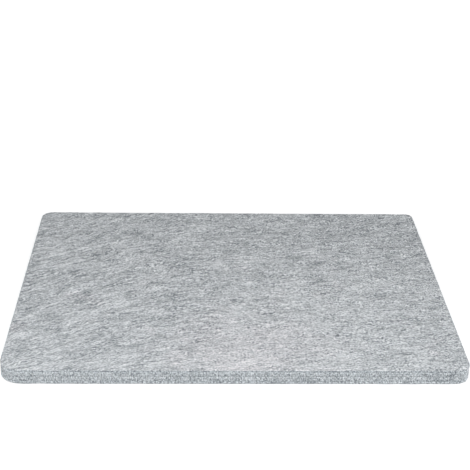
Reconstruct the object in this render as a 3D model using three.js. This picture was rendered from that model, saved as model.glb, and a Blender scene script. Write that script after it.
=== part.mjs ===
// An ironing pad: a flat slab of thick grey wool felt, knife-cut from sheet, with rounded corners and
// no cover, stitching or binding. The felt is built up from four plies of carded wool that are laid on
// each other and needled into one: a thin smooth face fleece on top, two thick cores and a backing.
// The plies show only at the cut edge, where a shallow groove marks each seam between two of them.
//
// Lengths are in millimetres. The origin is the middle of the underside, where the pad rests on the
// table. +X runs to the right along the long side, +Y away from the user and +Z up.

import * as THREE from "three";

// The outline of the cut, seen from above.
const padWidth = 432;
const padDepth = 343;
const frontLeftRadius = 20.5;
const frontRightRadius = 15;
const backRightRadius = 8;
const backLeftRadius = 12;

// The thickness of each ply, from the table up.
const backingThickness = 2.4;
const lowerCoreThickness = 5.2;
const upperCoreThickness = 5.2;
const faceThickness = 1.2;

// How far the knife left each ply's edge inside the outline. The smooth face is the widest, so its
// rim hangs a little over the softer cores, which sprang back from the blade.
const faceSetback = 0;
const upperCoreSetback = 0.25;
const lowerCoreSetback = 0.15;
const backingSetback = 0.1;

// How far a rim is drawn in from its ply's widest line: the worn upper arris of the face, the two
// rims that meet at a seam, and the foot, which the pad's own weight rolls under.
const arrisInset = 0.75;
const seamInset = 0.45;
const footInset = 0.45;

// The shape of a ply's edge between its rims. At a power of 2 the edge is a plain round, and a higher
// power keeps the middle flat and turns in sharply at the rims.
const fleecePower = 2.2;
const corePower = 4;

// How finely the curves are cut.
const cornerSteps = 7;
const coreEdgeSteps = 10;
const fleeceEdgeSteps = 6;

// The outline drawn in by an inset, anticlockwise. The corners keep their centres, so an inset only
// shortens their radii and every ring of one ply has the same number of points.
function outlineAt(inset) {
  const right = padWidth / 2;
  const back = padDepth / 2;
  const corners = [
    { x: 1, y: -1, radius: frontRightRadius },
    { x: 1, y: 1, radius: backRightRadius },
    { x: -1, y: 1, radius: backLeftRadius },
    { x: -1, y: -1, radius: frontLeftRadius },
  ];
  const quarterTurn = Math.PI / 2;
  const shape = new THREE.Shape();
  corners.forEach(({ x, y, radius }, turn) => {
    const centreX = x * (right - radius);
    const centreY = y * (back - radius);
    const start = (turn - 1) * quarterTurn;
    shape.absarc(centreX, centreY, radius - inset, start, start + quarterTurn);
  });
  shape.closePath();
  return shape.extractPoints(cornerSteps).shape;
}

// The side view of a ply's edge, as rings from its lower rim to its upper one. Each ring has a height
// in the ply and an inset from the pad's outline.
function edgeRings({ thickness, setback, lowerInset, upperInset, power, steps }) {
  const rings = [];
  for (let step = 0; step <= steps; step += 1) {
    const fromMiddle = -Math.cos((Math.PI * step) / steps);
    const rimInset = fromMiddle < 0 ? lowerInset : upperInset;
    const drawnIn = rimInset * Math.abs(fromMiddle) ** power;
    rings.push({
      height: (thickness * (1 + fromMiddle)) / 2,
      inset: setback + drawnIn,
    });
  }
  return rings;
}

// A closed solid through a stack of rings, with a flat cap on the lowest and on the highest.
function loft(rings) {
  const outlines = rings.map(({ inset }) => outlineAt(inset));
  const around = outlines[0].length;
  const positions = outlines.flatMap((outline, level) =>
    outline.flatMap((point) => [point.x, point.y, rings[level].height]),
  );

  const index = [];
  for (let level = 1; level < rings.length; level += 1) {
    const lower = (level - 1) * around;
    const upper = level * around;
    for (let here = 0; here < around; here += 1) {
      const next = (here + 1) % around;
      index.push(lower + here, lower + next, upper + next);
      index.push(lower + here, upper + next, upper + here);
    }
  }

  const top = (rings.length - 1) * around;
  for (const [a, b, c] of THREE.ShapeUtils.triangulateShape(outlines[0], [])) {
    index.push(c, b, a);
    index.push(top + a, top + b, top + c);
  }

  const geometry = new THREE.BufferGeometry();
  geometry.setAttribute("position", new THREE.Float32BufferAttribute(positions, 3));
  geometry.setIndex(index);
  geometry.computeVertexNormals();
  return geometry;
}

function wool(colour, roughness) {
  return new THREE.MeshStandardMaterial({ color: colour, roughness, metalness: 0 });
}

// The plies, from the table up. Each lies flat on the one below.
const plies = [
  {
    name: "backing_ply",
    thickness: backingThickness,
    setback: backingSetback,
    lowerInset: footInset,
    upperInset: seamInset,
    power: fleecePower,
    steps: fleeceEdgeSteps,
    material: wool("#a9b0b4", 0.97),
  },
  {
    name: "lower_core_ply",
    thickness: lowerCoreThickness,
    setback: lowerCoreSetback,
    lowerInset: seamInset,
    upperInset: seamInset,
    power: corePower,
    steps: coreEdgeSteps,
    material: wool("#b0b6ba", 0.98),
  },
  {
    name: "upper_core_ply",
    thickness: upperCoreThickness,
    setback: upperCoreSetback,
    lowerInset: seamInset,
    upperInset: seamInset,
    power: corePower,
    steps: coreEdgeSteps,
    material: wool("#b4babd", 0.98),
  },
  {
    name: "face_ply",
    thickness: faceThickness,
    setback: faceSetback,
    lowerInset: seamInset,
    upperInset: arrisInset,
    power: fleecePower,
    steps: fleeceEdgeSteps,
    material: wool("#b9bec1", 0.95),
  },
];

const ironingPad = new THREE.Group();
let restsAt = 0;
for (const ply of plies) {
  const mesh = new THREE.Mesh(loft(edgeRings(ply)), ply.material);
  mesh.name = ply.name;
  mesh.position.z = restsAt;
  ironingPad.add(mesh);
  restsAt += ply.thickness;
}

export default ironingPad;
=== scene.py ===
# %% [markdown]
# # An ironing pad of thick grey wool felt
#
# The real pad is a slab of needled wool felt that cloth is pressed on, about as thick as a finger. It
# has no cover: all there is to see is wool, on the flat pressing face and on the edge that the knife
# left. So this lesson is about one material seen two ways, and about the small relief, the seams
# between the plies and the loose fibres that tell felt from a grey board.
#
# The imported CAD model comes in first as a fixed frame. It holds the true size and place of each ply, so
# every sculpted ply below takes its sizes from there and nothing is fitted by eye.

# %% Load the frame
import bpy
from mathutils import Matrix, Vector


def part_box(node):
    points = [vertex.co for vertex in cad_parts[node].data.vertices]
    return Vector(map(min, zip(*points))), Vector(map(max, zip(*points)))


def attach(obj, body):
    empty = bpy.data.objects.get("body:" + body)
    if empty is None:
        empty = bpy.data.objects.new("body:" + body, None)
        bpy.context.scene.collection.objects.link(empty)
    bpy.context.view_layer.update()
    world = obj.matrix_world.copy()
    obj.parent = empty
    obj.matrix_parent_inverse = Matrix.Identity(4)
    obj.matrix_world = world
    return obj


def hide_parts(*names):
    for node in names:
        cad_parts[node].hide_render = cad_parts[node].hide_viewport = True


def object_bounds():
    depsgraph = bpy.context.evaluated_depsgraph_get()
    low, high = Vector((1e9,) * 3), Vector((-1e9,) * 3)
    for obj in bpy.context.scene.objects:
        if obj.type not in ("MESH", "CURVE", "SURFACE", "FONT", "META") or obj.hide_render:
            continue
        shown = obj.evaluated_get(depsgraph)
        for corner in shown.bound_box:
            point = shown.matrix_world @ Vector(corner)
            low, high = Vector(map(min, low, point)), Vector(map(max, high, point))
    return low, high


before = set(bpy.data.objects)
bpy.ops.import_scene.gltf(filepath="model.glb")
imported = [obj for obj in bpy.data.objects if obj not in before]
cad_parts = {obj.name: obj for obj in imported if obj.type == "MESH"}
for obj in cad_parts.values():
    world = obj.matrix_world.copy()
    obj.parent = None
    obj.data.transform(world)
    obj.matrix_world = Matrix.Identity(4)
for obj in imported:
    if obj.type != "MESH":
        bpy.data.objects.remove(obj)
cad_low, cad_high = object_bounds()
print("plies in the frame:", sorted(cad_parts))

# %% The tools of this lesson
import math

import bpy
import numpy as np
from mathutils import Matrix, Vector

# Sizes below are in millimetres unless a comment says otherwise. The scene is in metres, and MM is one
# millimetre of it.
MM = 0.001
pad_width = (cad_high.x - cad_low.x) / MM
pad_depth = (cad_high.y - cad_low.y) / MM
pad_thickness = (cad_high.z - cad_low.z) / MM
print(f"the pad is {pad_width:.1f} x {pad_depth:.1f} x {pad_thickness:.1f} mm")

# %% [markdown]
# ## The outline
#
# The pad is cut from a roll by hand with a knife and a template, so its four corners are not quite
# alike. A grid of quads is the best start for a surface that will get relief all over. Its rows and
# columns run straight across the pad, and near a corner the square mesh is bent into a quarter disc:
# each point of a square is moved along its row and its column so that the square's rim lands on the
# circle. That keeps quads everywhere, where a fan or a boolean cut would leave thin triangles.

# %% Corner radii and the bent grid
corner_radii = {
    ("left", "front"): 20.5,
    ("right", "front"): 15.0,
    ("right", "back"): 8.0,
    ("left", "back"): 12.0,
}
grid_step = 1.36


def in_corners(x, y):
    """Looks at places, in mm, corner by corner. Gives the corner's radius, the signs of its side and its
    end, which places are in the square of its arc, and how far these lie beyond the arc's centre."""
    for (side, end), radius in corner_radii.items():
        sign_x = 1 if side == "right" else -1
        sign_y = 1 if end == "back" else -1
        beyond_x = sign_x * x - (pad_width / 2 - radius)
        beyond_y = sign_y * y - (pad_depth / 2 - radius)
        here = (beyond_x > 0) & (beyond_y > 0)
        yield radius, sign_x, sign_y, here, beyond_x[here], beyond_y[here]


def round_corners(x, y):
    """Bends a square grid, in mm, so that its rim follows the pad's rounded outline."""
    bent_x = x.copy()
    bent_y = y.copy()
    for radius, sign_x, sign_y, here, beyond_x, beyond_y in in_corners(x, y):
        a = beyond_x / radius
        b = beyond_y / radius
        bent_x[here] = sign_x * (pad_width / 2 - radius + radius * (a * np.sqrt(1 - b * b / 2)))
        bent_y[here] = sign_y * (pad_depth / 2 - radius + radius * (b * np.sqrt(1 - a * a / 2)))
    return bent_x, bent_y


columns = round(pad_width / grid_step) + 1
rows = round(pad_depth / grid_step) + 1
flat_x, flat_y = np.meshgrid(
    np.linspace(-pad_width / 2, pad_width / 2, columns),
    np.linspace(-pad_depth / 2, pad_depth / 2, rows),
)
plan_x, plan_y = round_corners(flat_x, flat_y)
print(f"the grid has {columns} x {rows} points, {columns * rows} in all")

# %% [markdown]
# The rim of that grid is the line along which the side wall is built. For each rim point the script
# also keeps the direction that looks straight out of the pad, because a wall is made by stepping in and
# out along it, and the distance walked along the rim, because grooves and tufts repeat along it.

# %% The rim, its outward direction and its length
on_side_within = 0.001
point_numbers = np.arange(columns * rows).reshape(rows, columns)
rim = np.concatenate([
    point_numbers[0, :-1],
    point_numbers[:-1, -1],
    point_numbers[-1, :0:-1],
    point_numbers[:0:-1, 0],
])
rim_x = plan_x.ravel()[rim]
rim_y = plan_y.ravel()[rim]


def outward_directions(x, y):
    """A unit vector for each rim point, square to the rim and pointing out of the pad."""
    out_x = np.zeros_like(x)
    out_y = np.zeros_like(y)
    for radius, sign_x, sign_y, here, beyond_x, beyond_y in in_corners(x, y):
        out_x[here] = sign_x * beyond_x / radius
        out_y[here] = sign_y * beyond_y / radius
    straight = (out_x == 0) & (out_y == 0)
    on_side = np.abs(np.abs(x) - pad_width / 2) < on_side_within
    out_x[straight & on_side] = np.sign(x[straight & on_side])
    out_y[straight & ~on_side] = np.sign(y[straight & ~on_side])
    size = np.hypot(out_x, out_y)
    return out_x / size, out_y / size


out_x, out_y = outward_directions(rim_x, rim_y)
steps = np.hypot(np.roll(rim_x, -1) - rim_x, np.roll(rim_y, -1) - rim_y)
walked = np.concatenate([[0], np.cumsum(steps)[:-1]])
rim_length = steps.sum()
print(f"the rim is {rim_length:.0f} mm round, in {len(rim)} steps")

# %% [markdown]
# ## Uneven wool
#
# Felt is never flat. Carded wool lies in clouds a few centimetres across, tufts of two or three
# millimetres stand on them, and the needles leave small pits. All of that is smooth random height at
# several sizes, which is what value noise gives: random numbers on a coarse lattice, joined by smooth
# curves. A Displace modifier could lift a mesh by such a noise. It is written here in a few lines
# instead, so that the same heights can be asked for again later, when the loose fibres have to lie on
# the surface that it made. Every lattice has its own seed, so each run gives the same pad.

# %% Smooth random heights
lattice_side = 512


def smooth_noise(x, y, size, seed, wrap=None):
    """Random values from -1 to 1 over x and y, in mm, that change over about the given size. With a
    wrap, the pattern closes on itself after that length of x."""
    across = lattice_side if wrap is None else round(wrap / size)
    width = size if wrap is None else wrap / across
    lattice = np.random.default_rng(seed).uniform(-1, 1, (lattice_side, across))
    column = np.floor(x / width).astype(int)
    row = np.floor(y / size).astype(int)
    s = x / width - column
    t = y / size - row
    # This curve leaves each lattice point level and reaches the next one level, so no crease shows.
    s = s * s * (3 - 2 * s)
    t = t * t * (3 - 2 * t)
    left, right = column % across, (column + 1) % across
    low, high = row % lattice_side, (row + 1) % lattice_side
    bottom = lattice[low, left] * (1 - s) + lattice[low, right] * s
    top = lattice[high, left] * (1 - s) + lattice[high, right] * s
    return bottom * (1 - t) + top * t


sample = smooth_noise(np.arange(0, 25, 5), np.zeros(5), size=10, seed=1)
print("heights at places 5 mm apart, over features of 10 mm:", sample.round(2))

# %% The relief of the face
relief_layers = [
    # height in mm, size in mm: two sizes of cloud and two of tuft
    (0.14, 34.0),
    (0.08, 13.0),
    (0.07, 5.2),
    (0.06, 2.9),
]
relief_seed = 11


def face_relief(x, y):
    """How far the pressing face stands above or below its flat middle height, in mm."""
    return sum(
        height * smooth_noise(x, y, size, relief_seed + order)
        for order, (height, size) in enumerate(relief_layers)
    )


print(f"the face's relief spreads {face_relief(plan_x, plan_y).std():.2f} mm about its mean")

# %% [markdown]
# The blade presses the felt down before it cuts, and the fibres that it severs no longer hold the rim
# up. So the face sinks by about a quarter of a millimetre over its last few millimetres, on all four
# sides. It is hardly a shape, but without it the rim looks moulded and not cut.

# %% A soft shoulder
shoulder_width = 6.0
shoulder_drop = 0.25


def depth_inside(x, y):
    """How far places lie inside the pad's rounded outline, in mm."""
    depth = np.minimum(pad_width / 2 - np.abs(x), pad_depth / 2 - np.abs(y))
    for radius, _, _, here, beyond_x, beyond_y in in_corners(x, y):
        depth[here] = np.minimum(depth[here], radius - np.hypot(beyond_x, beyond_y))
    return depth


def shoulder(x, y):
    """How far the face has sunk, in mm: the whole drop at the outline, and nothing away from it."""
    nearness = np.clip(1 - depth_inside(x, y) / shoulder_width, 0, 1)
    return shoulder_drop * nearness ** 2


def pressing_height(x, y):
    """The height of the pressing face above the table, in mm."""
    return pad_thickness + face_relief(x, y) - shoulder(x, y)


def underside_height(x, y):
    """The height of the underside, in mm, which has the same relief as the face, turned over."""
    return -face_relief(x, -y)


print(f"the shoulder sinks {shoulder(plan_x, plan_y).max():.2f} mm at most")

# %% [markdown]
# ## A ply
#
# Four plies of carded wool were laid on each other and needled into one slab. Each ply is one closed
# mesh: a grid or a plain cap below, a wall of rings, and a grid or a plain cap above. The wall's side
# view is a shallow barrel, because cut wool springs back between two seams. Where two plies meet, both
# turn in, and the pair of turned-in rims is the groove that shows on the edge. A real groove is deep in
# one place and matted shut in the next. A bevel would be the same all the way round, so the rings are
# worked out in code, and the groove's depth follows a noise along the rim.

# %% The side view of each ply's edge
arris_inset = 0.75
seam_inset = 0.45
top_seam_inset = 0.75
foot_inset = 0.45
fleece_power = 2.2
core_power = 4.0
ply_plan = {
    # levels is the number of steps from the lower rim to the upper one. The edge lies back by setback, and
    # its two rims are drawn in by lower and upper, in mm. A higher power leaves the middle flatter.
    "backing_ply": dict(
        levels=10, setback=0.1, lower=foot_inset, upper=seam_inset, power=fleece_power
    ),
    "lower_core_ply": dict(
        levels=14, setback=0.15, lower=seam_inset, upper=seam_inset, power=core_power
    ),
    "upper_core_ply": dict(
        levels=14, setback=0.25, lower=seam_inset, upper=top_seam_inset, power=core_power
    ),
    "face_ply": dict(
        levels=8, setback=0.0, lower=top_seam_inset, upper=arris_inset, power=fleece_power
    ),
}
for ply in ply_plan:
    low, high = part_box(ply)
    print(f"{ply} lies from {low.z / MM:.1f} to {high.z / MM:.1f} mm above the table")

# %% How far an edge stands out
edge_seed = 40
seeds_per_ply = 10
groove_size = 7.0
groove_unevenness = 0.7  # the share by which a groove's depth comes and goes
tuft_height = 0.10
tuft_size = 1.5
tuft_tallness = 2.6
wave_height = 0.12
wave_size = 9.0
wave_tallness = 2.0
rim_calm = 0.6  # the share of the tufts and waves that is lost at a rim
rim_calm_power = 4


def stand_out(ply, along, height):
    """How far a ply's cut edge stands out of the pad's outline, in mm, at places along the rim and
    heights above the table. The needles pull tufts through, narrow along the rim and tall across it."""
    low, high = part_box(ply)
    plan = ply_plan[ply]
    seed = edge_seed + seeds_per_ply * list(ply_plan).index(ply)
    from_middle = np.clip((2 * height - (low.z + high.z) / MM) / ((high.z - low.z) / MM), -1, 1)
    # The sign keeps both rims of a ply near one row of the noise, so its two grooves are much alike.
    uneven = smooth_noise(along, np.sign(from_middle), groove_size, seed, wrap=rim_length)
    drawn_in = np.where(from_middle < 0, plan["lower"], plan["upper"]) * (1 + groove_unevenness * uneven)
    tufts = smooth_noise(along, height / tuft_tallness, tuft_size, seed + 1, wrap=rim_length)
    waves = smooth_noise(along, height / wave_tallness, wave_size, seed + 2, wrap=rim_length)
    calm = 1 - rim_calm * np.abs(from_middle) ** rim_calm_power
    barrel = plan["setback"] + drawn_in * np.abs(from_middle) ** plan["power"]
    return (tuft_height * tufts + wave_height * waves) * calm - barrel


for ply in ply_plan:
    low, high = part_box(ply)
    stand = stand_out(ply, walked, np.full_like(walked, (low.z + high.z) / 2 / MM))
    print(f"the middle of {ply} stands {stand.min():.2f} to {stand.max():.2f} mm out of the outline")

# %% Places on the cut edge
def edge_place(ply, along, height, lift=0.0):
    """Points on a ply's cut edge, in mm, at places along the rim and heights, raised by a lift."""
    stand = stand_out(ply, along, height) + lift
    walked_round = np.append(walked, rim_length)
    x, y, facing_x, facing_y = (
        np.interp(along % rim_length, walked_round, np.append(values, values[0]))
        for values in (rim_x, rim_y, out_x, out_y)
    )
    return np.stack([x + facing_x * stand, y + facing_y * stand, height], axis=-1)


def wall_rings(ply):
    """The rings of a ply's edge from its lower rim to its upper one, closer together near the rims. The
    face's own rings sink with its shoulder."""
    low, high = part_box(ply)
    levels = ply_plan[ply]["levels"]
    shares = (1 - np.cos(np.linspace(0, math.pi, levels + 1))) / 2
    rings = []
    for share in shares:
        height = (low.z + (high.z - low.z) * share) / MM
        ring = edge_place(ply, walked, np.full_like(walked, height))
        if ply == "face_ply":
            ring[:, 2] -= share * shoulder(ring[:, 0], ring[:, 1])
        rings.append(ring)
    return rings


for ply in ply_plan:
    print(f"the wall of {ply} has {len(wall_rings(ply))} rings")

# %% [markdown]
# Where a face of a ply shows, its cap is the bent grid, and where it lies hidden against the next ply a
# single polygon closes it. The wall's last ring and the grid's rim are the same points, so the skin is
# whole and light can't leak in at the arris.

# %% The faces of a ply
def grid_quads(start, flip):
    """The quads of a whole grid whose points are numbered from start."""
    a = point_numbers[:-1, :-1].ravel() + start
    b = point_numbers[:-1, 1:].ravel() + start
    c = point_numbers[1:, 1:].ravel() + start
    d = point_numbers[1:, :-1].ravel() + start
    return np.stack([a, d, c, b] if flip else [a, b, c, d], axis=1)


def wall_quads(lower, upper):
    """The quads between two rings, given as point numbers."""
    next_lower = np.roll(lower, -1)
    next_upper = np.roll(upper, -1)
    return np.stack([lower, next_lower, next_upper, upper], axis=1)


def grid_cap(ring, heights):
    """A grid's points in mm at the given heights, drawn in so that its rim is the given ring."""
    cap = np.stack([plan_x.ravel(), plan_y.ravel(), heights.ravel()], axis=1)
    cap[rim] = ring
    return cap


print(f"a grid cap has {len(grid_quads(0, flip=False))} quads, and a wall has {len(rim)} from ring to ring")

# %% Build a ply
def ply_mesh(name, rings, grid_on):
    """A closed mesh through the rings, with a grid on the named side and a plain cap on the others.
    Faces of the grid come first and take the first material, and all others take the second."""
    points = []
    quads = []
    levels = []
    made = 0
    for place, ring in enumerate(rings):
        if place == len(rings) - 1 and grid_on == "top":
            points.append(grid_cap(ring, pressing_height(plan_x, plan_y)))
            quads.append(grid_quads(made, flip=False))
            levels.append(rim + made)
        elif place == 0 and grid_on == "bottom":
            points.append(grid_cap(ring, underside_height(plan_x, plan_y)))
            quads.append(grid_quads(made, flip=True))
            levels.append(rim + made)
        else:
            points.append(ring)
            levels.append(np.arange(len(rim)) + made)
        made += len(points[-1])
    wall = [wall_quads(lower, upper) for lower, upper in zip(levels, levels[1:])]
    faces = np.concatenate(quads + wall).tolist()
    if grid_on != "top":
        faces.append(levels[-1].tolist())
    if grid_on != "bottom":
        faces.append(levels[0][::-1].tolist())
    mesh = bpy.data.meshes.new(name)
    mesh.from_pydata((np.concatenate(points) * MM).tolist(), [], faces)
    mesh.shade_smooth()
    slots = np.ones(len(mesh.polygons), int)
    slots[:sum(len(part) for part in quads)] = 0
    mesh.polygons.foreach_set("material_index", slots)
    return mesh


# %% Lay up the four plies
ply_slots = {
    "backing_ply": "backing_felt",
    "lower_core_ply": "lower_core_felt",
    "upper_core_ply": "upper_core_felt",
    "face_ply": "face_felt",
}
shown_faces = {"backing_ply": "bottom", "face_ply": "top"}


def place_piece(name, mesh):
    """Puts a piece of the pad into the scene, on the pad's body."""
    piece = bpy.data.objects.new(name, mesh)
    bpy.context.scene.collection.objects.link(piece)
    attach(piece, "root")
    print(f"{name}: {len(mesh.polygons)} faces")
    return piece


plies = {}
for ply, slot in ply_slots.items():
    name = ply + "_felt"
    mesh = ply_mesh(name, wall_rings(ply), shown_faces.get(ply))
    plies[ply] = place_piece(name, mesh)
    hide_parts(ply)

# %% [markdown]
# ## Fibre bundles
#
# Felt has no threads, but its surface isn't smooth either: slim bundles of fibre, a few millimetres
# long, lie on it half sunk into the mat. Particles or hair curves could draw them, yet a plain mesh is
# lighter, exports as it is and can be laid exactly on the relief. Each bundle here is a small domed
# leaf: two tips, and between them four cross-sections of a left edge, a ridge and a right edge. A flat
# underside closes it, and the sharp rims keep that underside out of the shading of the dome.
#
# The carded fleece decides how they lie. On most of the pad its fibres run nearly along the long side,
# and towards the left they swing round, because the fleece was laid down in a curve there. The slope of
# that lay is one small function, and the colour pattern of the wool follows the same one further down.

# %% The lay of the fleece
level_slope = math.tan(math.radians(7))
slanted_slope = math.tan(math.radians(30))
swing_from = 0.0
swing_width = 150.0


def fleece_slope(x):
    """The slope of the fibres, seen from above, at a distance x in mm from the pad's middle."""
    swung = np.clip((swing_from - x) / swing_width, 0, 1)
    return level_slope + (slanted_slope - level_slope) * swung


for x in (200, 0, -100, -200):
    angle = math.degrees(math.atan(fleece_slope(x)))
    print(f"at x {x} mm the fibres lie {angle:.0f} degrees off the long side")

# %% The faces of a bundle
sections = 4
points_per_bundle = 3 * sections + 2


def bundle_faces():
    """The faces of one bundle, as point numbers. Point 0 is its first tip, and then come the left edge,
    the ridge and the right edge of each cross-section, and last the other tip."""
    tip = points_per_bundle - 1
    faces = [(0, 2, 1), (0, 3, 2), (0, 1, 3)]
    for left in range(1, tip - 3, 3):
        ridge = left + 1
        right = left + 2
        faces.append((ridge, ridge + 3, left + 3, left))
        faces.append((right, right + 3, ridge + 3, ridge))
        faces.append((left, left + 3, right + 3, right))
    return faces + [(tip - 3, tip - 2, tip), (tip - 2, tip - 1, tip), (tip - 3, tip, tip - 1)]


print(f"a bundle has {points_per_bundle} points and {len(bundle_faces())} faces")

# %% Build bundles of fibre
rim_angle = math.radians(120)
tip_bluntness = 0.6  # the power that rounds a leaf's outline, blunter when lower
doming = 0.28  # the height of the ridge, as a share of the leaf's half width
ridge_lift = 0.03
sunk = 0.02


def bundle_mesh(name, place, u, v, heading, length, width, bend, rise):
    """Domed leaves of fibre. Each has its middle at u and v, in mm on a surface that place turns into
    points, a heading, a length, a width, a sideways bend and a rise of its middle off the surface."""
    s = np.linspace(0, 1, sections + 2)[None, :]
    forward = (s - 0.5) * length[:, None]
    # 4 s (1 - s) is an arc that is 0 at both tips and 1 in the middle.
    sideways = bend[:, None] * 4 * s * (1 - s)
    half = width[:, None] / 2 * np.sin(math.pi * s) ** tip_bluntness
    lift = rise[:, None] * np.sin(math.pi * s)
    cos = np.cos(heading)[:, None]
    sin = np.sin(heading)[:, None]
    rails = []
    for side in (1, 0, -1):
        off = sideways + side * half
        rail_u = u[:, None] + cos * forward - sin * off
        rail_v = v[:, None] + sin * forward + cos * off
        rails.append(place(rail_u, rail_v, lift + (doming * half + ridge_lift if side == 0 else -sunk)))
    left, ridge, right = rails
    middle = np.stack([left, ridge, right], axis=2)[:, 1:-1].reshape(len(u), 3 * sections, 3)
    points = np.concatenate([ridge[:, :1], middle, ridge[:, -1:]], axis=1)
    starts = range(0, len(u) * points_per_bundle, points_per_bundle)
    pattern = bundle_faces()
    faces = [[start + point for point in face] for start in starts for face in pattern]
    mesh = bpy.data.meshes.new(name)
    mesh.from_pydata((points.reshape(-1, 3) * MM).tolist(), [], faces)
    mesh.shade_smooth()
    mesh.set_sharp_from_angle(angle=rim_angle)
    return mesh


# %% [markdown]
# Geometry nodes could scatter the bundles. A seeded random generator does it here, which takes fewer
# steps and lays them the same way in each run. Those on the face follow the lay with some spread, and a
# bundle is kept only where both its tips lie well inside the rim. Those on the cut edge stand upright,
# as the knife and the needles leave them. Pale and dark ones are separate pieces, each with a finish of
# its own.

# %% Scatter bundles over the face
rim_margin = 1.2
face_bend = 0.09  # how far a bundle bows sideways, as a share of its length
face_bundle_plan = {
    # lengths, widths and rises in mm, spread in degrees
    "pale_face_fibres": dict(
        count=8600, seed=71, lengths=(3, 10), widths=(0.25, 0.6), rises=(0, 0.05), spread=14
    ),
    "dark_face_fibres": dict(
        count=8000, seed=72, lengths=(2.5, 8), widths=(0.25, 0.55), rises=(0, 0.03), spread=14
    ),
    "loose_face_hairs": dict(
        count=2500, seed=73, lengths=(6, 16), widths=(0.10, 0.16), rises=(0.1, 0.5), spread=30
    ),
}


def face_place(x, y, lift):
    """Points on the pressing face, in mm."""
    return np.stack([x, y, pressing_height(x, y) + lift], axis=-1)


def face_bundles(name, count, seed, lengths, widths, rises, spread):
    """A mesh of bundles scattered over the pressing face along the lay of its fleece."""
    chance = np.random.default_rng(seed)
    length = chance.uniform(*lengths, count)
    x = chance.uniform(-pad_width / 2, pad_width / 2, count)
    y = chance.uniform(-pad_depth / 2, pad_depth / 2, count)
    heading = np.arctan(fleece_slope(x)) + chance.normal(0, math.radians(spread), count)
    width = chance.uniform(*widths, count)
    bend = chance.normal(0, face_bend, count) * length
    rise = chance.uniform(*rises, count)
    tip_x = np.cos(heading) * length / 2
    tip_y = np.sin(heading) * length / 2
    nearest = np.minimum(depth_inside(x + tip_x, y + tip_y), depth_inside(x - tip_x, y - tip_y))
    kept = nearest > rim_margin + np.abs(bend)
    scattered = (values[kept] for values in (x, y, heading, length, width, bend, rise))
    return bundle_mesh(name, face_place, *scattered)


bundles = {}
for name, plan in face_bundle_plan.items():
    bundles[name] = place_piece(name, face_bundles(name, **plan))

# %% Scatter bundles over the cut edge
edge_bundle_count = 3600
edge_bundle_seeds = {"pale_edge_fibres": 81, "dark_edge_fibres": 82}
edge_lengths = (1.2, 3.2)
edge_widths = (0.22, 0.5)
edge_spread = 35  # degrees
edge_bend = 0.12
core_margin = 1.7
core_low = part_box("lower_core_ply")[0].z / MM
core_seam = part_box("upper_core_ply")[0].z / MM
core_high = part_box("upper_core_ply")[1].z / MM


def core_place(along, height, lift):
    """Points on the cut edge of the two cores, in mm."""
    lower = edge_place("lower_core_ply", along, np.minimum(height, core_seam), lift)
    upper = edge_place("upper_core_ply", along, np.maximum(height, core_seam), lift)
    return np.where((height < core_seam)[..., None], lower, upper)


def edge_bundles(name, count, seed):
    """A mesh of short upright bundles scattered over the cut edge of the two cores."""
    chance = np.random.default_rng(seed)
    length = chance.uniform(*edge_lengths, count)
    along = chance.uniform(0, rim_length, count)
    middle = chance.uniform(core_low + core_margin, core_high - core_margin, count)
    heading = math.pi / 2 + chance.normal(0, math.radians(edge_spread), count)
    width = chance.uniform(*edge_widths, count)
    bend = chance.normal(0, edge_bend, count) * length
    return bundle_mesh(name, core_place, along, middle, heading, length, width, bend, np.zeros(count))


for name, seed in edge_bundle_seeds.items():
    mesh = edge_bundles(name, edge_bundle_count, seed)
    bundles[name] = place_piece(name, mesh)

# %% [markdown]
# ## Nodes without clutter
#
# The felt's colour is worked out by a few dozen small nodes. One helper makes a node, sets its numbers
# and plugs in its links, so that each line below reads like a sum. Coordinates are the object's own, in
# millimetres, so a size in the material is a size on the pad.

# %% Helpers for node trees
def open_tree(owner):
    """Turns an owner's nodes on and clears them."""
    owner.use_nodes = True
    owner.node_tree.nodes.clear()
    return owner.node_tree


def end_tree(tree, shader, kind):
    """Plugs a shader into a new output node of the given kind."""
    tree.links.new(shader, tree.nodes.new(kind).inputs["Surface"])


def node(tree, kind, inputs, out=0, **settings):
    """Makes a node, fills its inputs with values or links, and gives back one output."""
    made = tree.nodes.new(kind)
    for name, value in settings.items():
        setattr(made, name, value)
    for socket, value in inputs.items():
        if isinstance(value, bpy.types.NodeSocket):
            tree.links.new(value, made.inputs[socket])
        else:
            made.inputs[socket].default_value = value
    return made.outputs[out]


def combine(tree, operation, first, second=0.0):
    """Two numbers joined by one operation of the Math node."""
    return node(tree, "ShaderNodeMath", {0: first, 1: second}, operation=operation)


def weighted_sum(tree, parts):
    """The sum of several outputs, each times its weight."""
    total = 0.0
    for weight, part in parts:
        total = combine(tree, "ADD", combine(tree, "MULTIPLY", part, weight), total)
    return total


def ramp(tree, value, low, high, to=(0.0, 1.0), smooth=False):
    """A number that goes from the first of two to the second as the value goes from low to high."""
    inputs = {"Value": value, "From Min": low, "From Max": high, "To Min": to[0], "To Max": to[1]}
    kind = "SMOOTHSTEP" if smooth else "LINEAR"
    return node(tree, "ShaderNodeMapRange", inputs, interpolation_type=kind)


# %% Helpers for places and patterns
ragged = 2.0  # the detail of a noise whose clouds have ragged outlines


def place_in_mm(tree):
    """The place on the pad in mm, in the pad's own frame."""
    place = node(tree, "ShaderNodeTexCoord", {}, out="Object")
    return node(tree, "ShaderNodeVectorMath", {0: place, "Scale": 1 / MM}, operation="SCALE")


def coordinate(tree, mm, axis):
    """One of the three numbers of a place."""
    return node(tree, "ShaderNodeSeparateXYZ", {0: mm}, out=axis)


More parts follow.
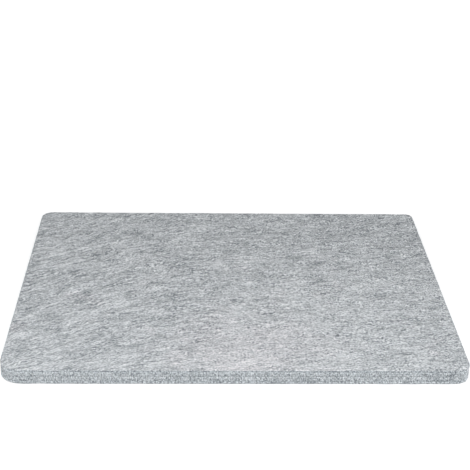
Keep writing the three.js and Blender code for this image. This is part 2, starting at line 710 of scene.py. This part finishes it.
def noise(tree, coords, size, detail=1.0):
    """Smooth noise about zero, over features of about the given size in mm. More detail adds smaller
    features to them."""
    inputs = {"Vector": coords, "Scale": 1 / size, "Detail": detail}
    return combine(tree, "SUBTRACT", node(tree, "ShaderNodeTexNoise", inputs), 0.5)


def stretched(tree, coords, factors, offset=0.0):
    """Coordinates on which a pattern is drawn out by a factor along each axis. The offset, in mm, shows
    another part of the pattern, so that two layers of one noise aren't alike."""
    inputs = {"Vector": coords, "Location": (offset, 2 * offset, 3 * offset), "Scale": factors}
    return node(tree, "ShaderNodeMapping", inputs, vector_type="TEXTURE")


def colour_steps(tree, factor, steps):
    """A colour ramp through the given steps of place and colour."""
    made = tree.nodes.new("ShaderNodeValToRGB")
    while len(made.color_ramp.elements) < len(steps):
        made.color_ramp.elements.new(0.5)  # the next loop moves it
    for element, (place, colour) in zip(made.color_ramp.elements, steps):
        element.position = place
        element.color = (*colour, 1)
    tree.links.new(factor, made.inputs[0])
    return made.outputs[0]


# %% [markdown]
# ## Heathered wool
#
# The grey is not a dye but a blend of white, grey and near-black fleece that was carded together. From
# a step away the eye sees a fine salt-and-pepper mottle of tufts, drawn out into streaks along the lay
# of the fibres, and wide clouds where the blend was lighter or darker. A picture of felt would repeat
# over the pad and blur close up, so the pattern is made of noises. Each has a size of its own, and a
# table lists them from clouds to grains. They are added to one brightness and sent through a ramp from
# dark fibre to white fibre, and the same sum drives the bump, because a pale tuft is also a raised one.
#
# A noise that is drawn out along x makes level streaks. To make them follow the lay, the pattern is
# looked up at straightened coordinates: the height of the curve that a fibre through the middle of the
# pad would follow is taken away from y, so that every fibre becomes a level line.

# %% The wool's own colours
dark_wool = (0.165, 0.183, 0.20)
grey_wool = (0.415, 0.440, 0.463)
pale_wool = (0.590, 0.617, 0.642)
white_wool = (0.855, 0.87, 0.885)
blend_steps = [(0.08, dark_wool), (0.42, grey_wool), (0.62, pale_wool), (0.95, white_wool)]
for step, wool in blend_steps:
    print(f"at {step:.2f} of the blend the wool reflects {sum(wool) / len(wool):.0%} of the light")

# %% Coordinates that follow the lay
wander_size = 18.0
wander_reach = 15.0  # from one extreme of the wander to the other


def straightened(tree, mm):
    """Coordinates on which the fibres of the face run along the first axis, but for a slow wander."""
    x, y, z = (coordinate(tree, mm, axis) for axis in "XYZ")
    past = combine(tree, "MULTIPLY", combine(tree, "SUBTRACT", swing_from, x), 1 / swing_width)
    past = combine(tree, "MAXIMUM", past, 0.0)
    swung = combine(tree, "MINIMUM", past, 1.0)
    # The area under swung, from where the swing starts, times the extra slope is how far a fibre has
    # left its level course.
    half_square = combine(tree, "MULTIPLY", combine(tree, "MULTIPLY", swung, swung), 0.5)
    swung_area = combine(tree, "ADD", half_square, combine(tree, "SUBTRACT", past, swung))
    extra_slope = slanted_slope - level_slope
    rise = weighted_sum(tree, [(level_slope, x), (-extra_slope * swing_width, swung_area)])
    wander = noise(tree, mm, wander_size, detail=ragged)
    across = weighted_sum(tree, [(1, y), (-1, rise), (wander_reach, wander)])
    return node(tree, "ShaderNodeCombineXYZ", {0: x, 1: across, 2: z})


print(f"over {wander_size:.0f} mm a streak may wander by {wander_reach / 2:.1f} mm to either side")

# %% [markdown]
# One fleece is never quite even. Near the middle of the front it holds less dark fibre and is paler and
# a little warmer, and towards the far side the blend is coarser. On the left, where the fleece swings
# round, its streaks are plainer than its grain. Along the near rim a painted highlight makes the face a
# little paler. All of these are soft ramps over the pad: the first from the distance to the middle of
# that patch, which a noise makes ragged, and the others from x or y.

# %% The mottle of the face
face_layers = [
    # weight, size across the lay in mm, how many times longer along it, which part of the noise in mm
    (0.28, 44.0, 1.0, 0.0),
    (0.27, 18.0, 1.6, 17.0),
    (0.20, 9.0, 2.4, 34.0),
    (0.50, 2.4, 10.0, 51.0),
    (1.07, 0.92, 14.0, 68.0),
    (2.38, 0.95, 1.9, 85.0),
]
# How strong each of those layers is where the fleece has swung round, next to its strength elsewhere.
swung_shares = [1.0, 1.0, 1.15, 1.1, 1.4, 0.8]
patch_middle = (14.0, -136.0)  # x and y
patch_reach = 125.0
patch_core = 0.25  # the share of the reach within which the patch is full
patch_raggedness = 120.0
patch_rag_size = 30.0
patch_paleness = 0.07
# Painted highlight: the face is a little paler along the near rim.
highlight_strip = (-152.0, -166.0)  # y where the painted highlight begins and where it is full
painted_rim_highlight = 0.05
near_side = -150.0  # y of the finest blend
far_side = 110.0  # y of the coarsest blend
near_coarseness = 0.94
far_coarseness = 1.71


def layered(tree, coords, layers, axes):
    """The noises of a table and their weights, each stretched as axes says for its factor."""
    parts = []
    for weight, size, stretch, offset in layers:
        parts.append((weight, noise(tree, stretched(tree, coords, axes(stretch), offset), size)))
    return parts


def pale_patch(tree, mm):
    """How deep a place lies in the pale patch of the fleece, from 0 to 1."""
    middle = (*patch_middle, pad_thickness)
    away = node(tree, "ShaderNodeVectorMath", {0: mm, 1: middle}, out="Value", operation="DISTANCE")
    rag = noise(tree, mm, patch_rag_size, detail=ragged)
    distance = weighted_sum(tree, [(1, away), (patch_raggedness, rag)])
    return ramp(tree, distance, patch_reach, patch_core * patch_reach, smooth=True)


def face_mottle(tree, mm):
    """The pattern of the needled face, from wide clouds to single grains."""
    x, y = (coordinate(tree, mm, axis) for axis in "XY")
    parts = []
    layers = layered(tree, straightened(tree, mm), face_layers, lambda factor: (factor, 1, 1))
    for (weight, layer), share in zip(layers, swung_shares):
        strength = ramp(tree, x, swing_from, swing_from - swing_width, to=(1.0, share))
        parts.append((weight, combine(tree, "MULTIPLY", layer, strength)))
    coarseness = ramp(tree, y, near_side, far_side, to=(near_coarseness, far_coarseness))
    return weighted_sum(tree, [
        (patch_paleness, pale_patch(tree, mm)),
        # the painted highlight along the near rim
        (painted_rim_highlight, ramp(tree, y, *highlight_strip, smooth=True)),
        (1, combine(tree, "MULTIPLY", weighted_sum(tree, parts), coarseness)),
    ])


print(f"the face is mottled by {len(face_layers)} noises")

# %% [markdown]
# The cut edge shows the same fibres end on, as a fine speckle with short upright strokes. Along the seams
# its colour is darkened into thin lines of painted shade. The one under the face fleece is the darkest,
# and its painted shade grows stronger towards the right. Below it a pale band is a painted highlight,
# strongest towards the left, where that painted shade is weakest. A noise breaks each line of painted
# shade, and a band of painted shade runs along the arris.

# %% The seams of the cut edge
# Painted shade: how strongly the cut edge's colour is darkened along the seam under each ply, in a band a
# little above it.
painted_seam_strengths = {"lower_core_ply": 0.05, "upper_core_ply": 0.09, "face_ply": 0.5}
seam_half_width = 0.55
seam_lift = 0.3
seam_darkening_ends = (0.35, 2.0)  # at the pad's left end and at its right end
seam_break_size = 3.0
seam_break_tallness = 4.0
seam_break_range = (-0.16, 0.06)  # noise values where the painted shade is broken off and where it is full
# Painted highlight: a pale band of the cut edge's colour under the top seam.
lip_highlight = 0.06
lip_drop = 0.9
lip_half_width = 0.9
lip_fading = (3.2, 1.6)  # at the left end and at the right end
# Painted shade: a dark band of the cut edge's colour along the arris.
painted_arris_shade = 0.12
arris_half_width = 0.6


def level_band(tree, mm, middle, half_width):
    """A soft level band round the edge, 1 at its middle height and 0 beyond its half width."""
    gap = combine(tree, "ABSOLUTE", combine(tree, "SUBTRACT", coordinate(tree, mm, "Z"), middle))
    return ramp(tree, gap, half_width, 0.0, smooth=True)


def left_to_right(tree, mm, at_ends):
    """A number that changes evenly between its values at the pad's left and right ends."""
    return ramp(tree, coordinate(tree, mm, "X"), -pad_width / 2, pad_width / 2, to=at_ends)


def painted_seam_darkening(tree, mm, ply):
    """How much painted shade darkens the edge along the seam under a ply, more towards the right end and
    broken by a noise.
    """
    line = level_band(tree, mm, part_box(ply)[0].z / MM + seam_lift, seam_half_width)
    strengthened = combine(tree, "MULTIPLY", line, left_to_right(tree, mm, seam_darkening_ends))
    breaks = noise(tree, stretched(tree, mm, (1, 1, seam_break_tallness)), seam_break_size, detail=ragged)
    return combine(tree, "MULTIPLY", strengthened, ramp(tree, breaks, *seam_break_range))


def painted_lip_highlight(tree, mm):
    """A painted highlight: a pale band under the top seam, stronger towards the left end."""
    band = level_band(tree, mm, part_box("face_ply")[0].z / MM - lip_drop, lip_half_width)
    return combine(tree, "MULTIPLY", band, left_to_right(tree, mm, lip_fading))


# %% The mottle of the cut edge
edge_layers = [
    # weight, size along the rim in mm, how many times taller up the edge, which part of the noise in mm
    (0.25, 44.0, 1.0, 0.0),
    (0.36, 9.0, 1.0, 17.0),
    (1.56, 1.15, 2.0, 34.0),
    (2.14, 0.85, 1.0, 51.0),
]
edge_paling = (0.025, -0.004)  # at the left end and at the right end


def edge_mottle(tree, mm):
    """The pattern of the cut edge: fibre ends as a fine speckle, in strokes that the needles left, paler
    towards the pad's left end. Painted shade runs along the seams and the arris, and a painted highlight
    under the top seam."""
    parts = [(1, left_to_right(tree, mm, edge_paling))]
    # the painted shade along the seams
    parts += [(-shade, painted_seam_darkening(tree, mm, ply)) for ply, shade in painted_seam_strengths.items()]
    # the painted highlight under the top seam
    parts.append((lip_highlight, painted_lip_highlight(tree, mm)))
    # the painted shade along the arris
    parts.append((-painted_arris_shade, level_band(tree, mm, pad_thickness, arris_half_width)))
    parts += layered(tree, mm, edge_layers, lambda factor: (1, 1, factor))
    return weighted_sum(tree, parts)


print(f"the cut edge is mottled by {len(edge_layers)} noises")

# %% [markdown]
# ## From a mottle to a finish
#
# Felt is the plainest of surfaces to light. It is matt, with hardly any gloss, and the faint fuzz of
# fibre ends gives it a little sheen at a low angle. Those numbers are the same all over, so they are set
# on the shader itself. The colour, the bump and the roughness come from the mottle, because a pale tuft
# stands up and is rubbed a little smoother than the dark wool between.

# %% The surface of wool
wool_look = {
    "Specular IOR Level": 0.15,
    "Sheen Weight": 0.1,
    "Sheen Roughness": 0.6,
}
sunk_roughness = 0.99
raised_roughness = 0.88


def wool_surface(tree, colour, paleness, normal=None):
    """A dull, faintly fuzzy surface of the given colour, rubbed smoother as its paleness nears 1, and
    closed off with an output."""
    surface = tree.nodes.new("ShaderNodeBsdfPrincipled")
    for socket, value in wool_look.items():
        surface.inputs[socket].default_value = value
    roughness = ramp(tree, paleness, 0.0, 1.0, to=(sunk_roughness, raised_roughness))
    tree.links.new(roughness, surface.inputs["Roughness"])
    tree.links.new(colour, surface.inputs["Base Color"])
    if normal:
        tree.links.new(normal, surface.inputs["Normal"])
    end_tree(tree, surface.outputs[0], "ShaderNodeOutputMaterial")


print(f"wool's roughness goes from {sunk_roughness} between the tufts to {raised_roughness} on them")

# %% [markdown]
# On the face the wool is also a touch warmer in places: in the core of the pale patch, and in a few
# small clouds of the near side. A Mix node multiplies that cast onto the colour. The cut edge shows
# other wool, that of the cores, which has no warm places and is a shade bluer all over. One tint on the
# colours of its blend does that.

# %% Warm places on the face
warm_tint = (1.038, 1.0, 1.005)
warm_core_power = 1.5
warm_cloud_size = 34.0
warm_cloud_range = (0.09, 0.24)
# A Mix node has a set of sockets for each kind of value, and these are the ones for colours.
mix_first = 6
mix_second = 7
mix_result = 2


def warmth(tree, mm):
    """How much warmer than the rest the wool is at a place, from 0 to 1: most in the core of the pale
    patch, and in a few clouds of the near side."""
    cloud = ramp(tree, noise(tree, mm, warm_cloud_size, detail=ragged), *warm_cloud_range, smooth=True)
    near = ramp(tree, coordinate(tree, mm, "Y"), far_side, near_side)
    core = combine(tree, "POWER", pale_patch(tree, mm), warm_core_power)
    return combine(tree, "MAXIMUM", combine(tree, "MULTIPLY", cloud, near), core)


def warmed(tree, mm, colour):
    """A colour with the face's warm cast on it."""
    inputs = {"Factor": warmth(tree, mm), mix_first: colour, mix_second: (*warm_tint, 1)}
    return node(tree, "ShaderNodeMix", inputs, out=mix_result, data_type="RGBA", blend_type="MULTIPLY")


print(f"the warmest wool reflects {warm_tint[0] - 1:.1%} more red light")

# %% Finishes of the plies
bump_height = 0.3
face_brightness = 0.486
edge_brightness = 0.52
edge_tint = (0.974, 1.003, 1.016)


def felt_material(name, mottle_of, brightness, tint=(1.0, 1.0, 1.0), warm=False):
    """Heathered wool felt. Brightness moves the blend to its pale or its dark side, the tint is the same
    all over, and warm wool has warm places too."""
    material = bpy.data.materials.new(name)
    tree = open_tree(material)
    mm = place_in_mm(tree)
    mottle = mottle_of(tree, mm)
    blend = combine(tree, "ADD", mottle, brightness)
    tinted = [(step, tuple(part * level for part, level in zip(wool, tint))) for step, wool in blend_steps]
    colour = colour_steps(tree, blend, tinted)
    if warm:
        colour = warmed(tree, mm, colour)
    bump = {"Height": mottle, "Distance": bump_height * MM, "Strength": 1.0}
    wool_surface(tree, colour, blend, normal=node(tree, "ShaderNodeBump", bump))
    return material


face_felt = felt_material("pressing_face_felt", face_mottle, face_brightness, warm=True)
edge_felt = felt_material("cut_edge_felt", edge_mottle, edge_brightness, tint=edge_tint)
for felt in plies.values():
    felt.data.materials.append(face_felt)
    felt.data.materials.append(edge_felt)
for material in (face_felt, edge_felt):
    print(f"{material.name}: {len(material.node_tree.nodes)} nodes")

# %% [markdown]
# The bundles are made of the same wools, unblended: the pale ones of white fleece and the dark ones of
# grey. Their tone drifts along and between them, so that no two are quite alike.

# %% Finishes of the bundles
charcoal_wool = (0.22, 0.24, 0.255)
fibre_drift_size = 5.0
fibre_drift_range = (-0.2, 0.2)


def fibre_material(name, first, second):
    """Unblended wool whose tone drifts between two colours over a few millimetres."""
    material = bpy.data.materials.new(name)
    tree = open_tree(material)
    drift = noise(tree, place_in_mm(tree), fibre_drift_size, detail=ragged)
    paleness = ramp(tree, drift, *fibre_drift_range)
    wool_surface(tree, colour_steps(tree, paleness, [(0.0, first), (1.0, second)]), paleness)
    return material


pale_fibre = fibre_material("pale_fibre", pale_wool, white_wool)
dark_fibre = fibre_material("dark_fibre", charcoal_wool, grey_wool)
for name, piece in bundles.items():
    finish = dark_fibre if name.startswith("dark") else pale_fibre
    piece.data.materials.append(finish)
    print(f"{name} is finished in {finish.name}")

# %% [markdown]
# ## Floor and surroundings
#
# The pad lies on a plain floor that takes its soft shadow. To the camera the floor glows a little more
# the further it is from the pad, so it runs into white without more light on the felt. The surroundings
# do the same: the camera sees them as white, and the pad is lit by them at a plainer level. The relief
# of the underside reaches a little below the pad's level, so the floor lies lower by a third of a
# millimetre.

# %% Floor
floor_side = 9.0  # metres
floor_gap = 0.3
half = floor_side / 2
floor_corners = [(-half, -half, 0), (half, -half, 0), (half, half, 0), (-half, half, 0)]
floor_mesh = bpy.data.meshes.new("floor")
floor_mesh.from_pydata(floor_corners, [], [(0, 1, 2, 3)])
floor = bpy.data.objects.new("floor", floor_mesh)
floor.location.z = cad_low.z - floor_gap * MM
bpy.context.scene.collection.objects.link(floor)
print(f"the floor is {floor_side:.0f} m square and lies {floor_gap} mm under the pad's level")

# %% The floor's paint
floor_grey = 0.6
floor_glow = (0.6, 1.0)  # the strength by the pad and far from it
glow_reach = (0.2, 1.4)  # the distances in metres between which it grows
floor_paint = bpy.data.materials.new("floor_paint")
tree = open_tree(floor_paint)
seen = node(tree, "ShaderNodeLightPath", {}, out="Is Camera Ray")
place = node(tree, "ShaderNodeTexCoord", {}, out="Object")
away = node(tree, "ShaderNodeVectorMath", {0: place}, out="Value", operation="LENGTH")
brightening = ramp(tree, away, *glow_reach, to=floor_glow, smooth=True)
lit = node(tree, "ShaderNodeBsdfDiffuse", {"Color": (floor_grey, floor_grey, floor_grey, 1)})
glow = node(tree, "ShaderNodeEmission", {"Color": (1, 1, 1, 1), "Strength": brightening})
both = node(tree, "ShaderNodeAddShader", {0: lit, 1: glow})
end_tree(tree, node(tree, "ShaderNodeMixShader", {0: seen, 1: lit, 2: both}), "ShaderNodeOutputMaterial")
floor_mesh.materials.append(floor_paint)
print(f"the camera sees the floor glow at {floor_glow[0]} by the pad and at {floor_glow[1]} far from it")

# %% Surroundings
fill_colour = (0.98, 0.99, 1.0, 1)
fill_strength = 0.55
world = bpy.data.worlds.new("studio")
bpy.context.scene.world = world
tree = open_tree(world)
path = tree.nodes.new("ShaderNodeLightPath").outputs
direct = combine(tree, "MAXIMUM", path["Is Camera Ray"], path["Is Glossy Ray"])
direct = combine(tree, "MAXIMUM", direct, path["Is Transmission Ray"])
fill = node(tree, "ShaderNodeBackground", {"Color": fill_colour, "Strength": fill_strength})
white = node(tree, "ShaderNodeBackground", {"Color": (1, 1, 1, 1), "Strength": 1.0})
end_tree(tree, node(tree, "ShaderNodeMixShader", {0: direct, 1: fill, 2: white}), "ShaderNodeOutputWorld")
print(f"the surroundings light the pad at {fill_strength}")

# %% [markdown]
# ## Lamps
#
# The main lamp is a wide soft box in front of the pad and above it, so the near side is a little
# brighter than the far side. Two small ones stand low at the sides, almost level with the table: they
# reach the cut edges at the corners and hardly touch the face. The last one is behind, and only keeps
# the far edge from going dull when the pad is seen from there.

# %% Soft boxes
soft_boxes = {
    # place and aim in metres, width and height in metres, power in watts
    "front_softbox": dict(
        place=(-0.02, -0.48, 0.45), aim=(-0.02, -0.05, 0), sides=(1.2, 0.4), power=2.6
    ),
    "left_softbox": dict(
        place=(-0.75, -0.25, 0.14), aim=(-0.1, -0.1, 0), sides=(0.4, 0.2), power=0.6
    ),
    "right_softbox": dict(
        place=(0.75, -0.25, 0.14), aim=(0.1, -0.1, 0), sides=(0.4, 0.2), power=1.1
    ),
    "back_softbox": dict(
        place=(0.05, 0.8, 0.5), aim=(0, 0.05, 0), sides=(0.6, 0.6), power=0.3
    ),
}
lamp_colour = (1.0, 0.996, 0.988)


def soft_lamp(name, place, aim, sides, power):
    """A rectangular lamp at a place, turned to a point and hidden from the camera."""
    data = bpy.data.lights.new(name, "AREA")
    data.shape = "RECTANGLE"
    data.size, data.size_y = sides
    data.energy = power
    data.color = lamp_colour
    lamp = bpy.data.objects.new(name, data)
    lamp.location = place
    lamp.rotation_euler = (Vector(aim) - Vector(place)).to_track_quat("-Z", "Y").to_euler()
    lamp.visible_camera = False
    bpy.context.scene.collection.objects.link(lamp)


for name, plan in soft_boxes.items():
    soft_lamp(name, **plan)
    print(f"{name}: {plan['power']} W")

# %% [markdown]
# ## Camera
#
# The camera stands about a metre in front of the pad and half a metre above it, with a long lens, and
# it is turned by a few degrees. Its three directions are worked out from the pitch, the yaw and the
# roll, which keeps them readable, and set as the columns of its matrix.

# %% Camera
focal_length = 88.08
sensor_width = 36
camera_place = Vector((-36.04, -1055.54, 564.19 + pad_thickness)) * MM
camera_pitch = math.radians(25.776)
camera_yaw = math.radians(2.083)
camera_roll = math.radians(-1.212)

ahead = Vector((
    math.sin(camera_yaw) * math.cos(camera_pitch),
    math.cos(camera_yaw) * math.cos(camera_pitch),
    -math.sin(camera_pitch),
))
level = Vector((math.cos(camera_yaw), -math.sin(camera_yaw), 0))
right = math.cos(camera_roll) * level + math.sin(camera_roll) * ahead.cross(level)
down = ahead.cross(right)
camera_data = bpy.data.cameras.new("camera")
camera_data.lens = focal_length
camera_data.sensor_width = sensor_width
camera = bpy.data.objects.new("camera", camera_data)
turned = Matrix((right, -down, -ahead)).transposed().to_4x4()
camera.matrix_world = Matrix.Translation(camera_place) @ turned
bpy.context.scene.collection.objects.link(camera)
bpy.context.scene.camera = camera
bpy.context.scene.view_settings.view_transform = "Standard"
print(f"the camera is {camera_place.length:.2f} m from the middle of the pad's underside")
